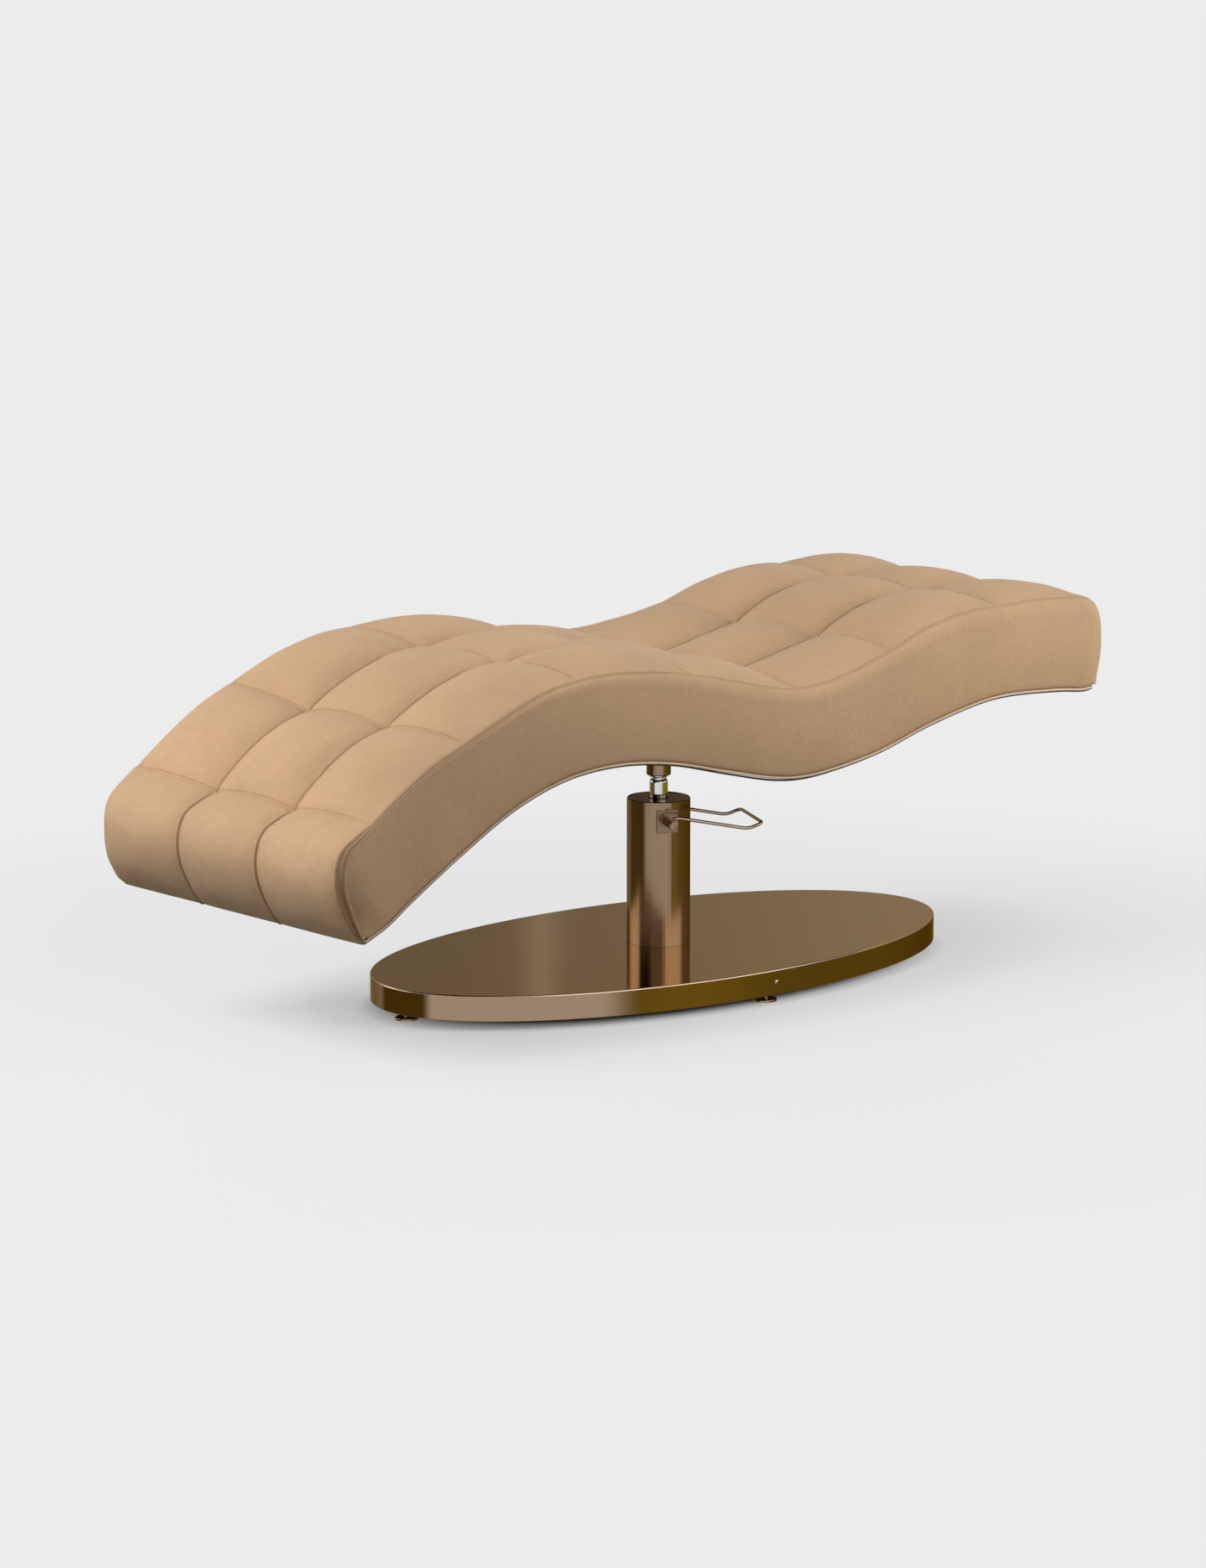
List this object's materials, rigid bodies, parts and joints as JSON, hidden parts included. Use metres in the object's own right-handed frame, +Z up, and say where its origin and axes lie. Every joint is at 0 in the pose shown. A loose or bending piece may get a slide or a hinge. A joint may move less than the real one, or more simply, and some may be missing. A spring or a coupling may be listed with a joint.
{
  "type": "eyelash extension bed",
  "caption": "Wave-shaped tufted leather lounger that turns and rises on a round column over an oval base, with a bent-wire pump lever and levelling feet.",
  "frame": {"origin": "on the floor, under the middle of the bed's bounding box", "axes": "+X along the bed towards the head end, +Y across it away from the side that the picture shows, +Z up"},
  "size_m": [1.8108, 0.693, 0.6945],
  "materials": {
    "caramel_leather": "satin, fine grain",
    "piping_leather": "satin",
    "foam": "matt cut foam",
    "black_cloth": "matt non-woven cloth",
    "plywood": "plain sanded",
    "bronze_gold": "brushed bronze gold",
    "dark_cap": "satin dark bronze",
    "chrome": "polished",
    "zinc_steel": "zinc plated",
    "cast_iron": "black painted",
    "bearing_bronze": "turned",
    "rubber": "matt"
  },
  "bodies": {
    "base": {"base_cover": "bronze_gold", "ballast_plate": "cast_iron", "foot_nut_head": "zinc_steel", "foot_nut_far": "zinc_steel", "foot_nut_foot": "zinc_steel", "foot_nut_near": "zinc_steel", "rim_screw_near": "bronze_gold", "rim_screw_far": "bronze_gold", "rim_bracket_near": "zinc_steel", "rim_bracket_far": "zinc_steel", "column_flange": "zinc_steel", "flange_bolt_1": "zinc_steel", "flange_bolt_2": "zinc_steel", "flange_bolt_3": "zinc_steel", "flange_bolt_4": "zinc_steel", "column_tube": "bronze_gold", "column_cap": "dark_cap", "wiper_seal": "rubber", "guide_bush": "bearing_bronze", "pump_cylinder": "cast_iron", "lever_plate_front": "bronze_gold", "lever_plate_rear": "bronze_gold", "plunger_spring": "zinc_steel"},
    "lift_ram": {"ram": "chrome"},
    "bed": {"swivel_collar": "bronze_gold", "grub_screw_near": "zinc_steel", "grub_screw_far": "zinc_steel", "thrust_washer": "bearing_bronze", "mounting_plate": "zinc_steel", "plate_bolt_1": "zinc_steel", "plate_bolt_2": "zinc_steel", "plate_bolt_3": "zinc_steel", "plate_bolt_4": "zinc_steel", "bearer_foot": "plywood", "bearer_head": "plywood", "bottom_board": "plywood", "dust_cover": "black_cloth", "frame_rib_near": "plywood", "frame_rib_far": "plywood", "deck_board": "plywood", "cross_rail_1": "plywood", "cross_rail_2": "plywood", "cross_rail_3": "plywood", "cross_rail_4": "plywood", "foam_core": "foam", "leather_cover": "caramel_leather", "piping": "piping_leather"},
    "pump_lever": {"lever_rod": "bronze_gold", "lever_hub_front": "bronze_gold", "lever_hub_rear": "bronze_gold", "lever_screw_front": "zinc_steel", "lever_screw_rear": "zinc_steel", "lever_cam": "zinc_steel", "lever_clip": "zinc_steel"},
    "plunger": {"pump_plunger": "chrome"},
    "levelling_foot_head": {"levelling_foot_head": "bronze_gold"},
    "levelling_foot_far": {"levelling_foot_far": "bronze_gold"},
    "levelling_foot_foot": {"levelling_foot_foot": "bronze_gold"},
    "levelling_foot_near": {"levelling_foot_near": "bronze_gold"}
  },
  "joints": [
    {"name": "lift", "type": "slide", "parent": "base", "child": "lift_ram", "axis": [0, 0, 1], "range_m": [0, 0.14]},
    {"name": "swivel", "type": "hinge", "parent": "lift_ram", "child": "bed", "pos_m": [0.1005, 0, 0.42], "axis": [0, 0, 1], "continuous": true},
    {"name": "lever", "type": "hinge", "parent": "base", "child": "pump_lever", "pos_m": [0.1005, 0, 0.299], "axis": [-0.4226, -0.9063, 0], "range_deg": [-24, 8], "stiffness_Nm_per_rad": 12, "springref_deg": 0.69},
    {"name": "plunger_stroke", "type": "slide", "parent": "base", "child": "plunger", "axis": [0, 0, 1], "range_m": [-0.0062, 0.0022], "deforming": ["plunger_spring"]},
    {"name": "foot_head_height", "type": "slide", "parent": "base", "child": "levelling_foot_head", "axis": [0, 0, -1], "range_m": [0, 0.01]},
    {"name": "foot_far_height", "type": "slide", "parent": "base", "child": "levelling_foot_far", "axis": [0, 0, -1], "range_m": [0, 0.01]},
    {"name": "foot_foot_height", "type": "slide", "parent": "base", "child": "levelling_foot_foot", "axis": [0, 0, -1], "range_m": [0, 0.01]},
    {"name": "foot_near_height", "type": "slide", "parent": "base", "child": "levelling_foot_near", "axis": [0, 0, -1], "range_m": [0, 0.01]}
  ],
  "couplings": [
    {"joint": "plunger_stroke", "follows": "lever", "m_per_rad": 0.014}
  ]
}
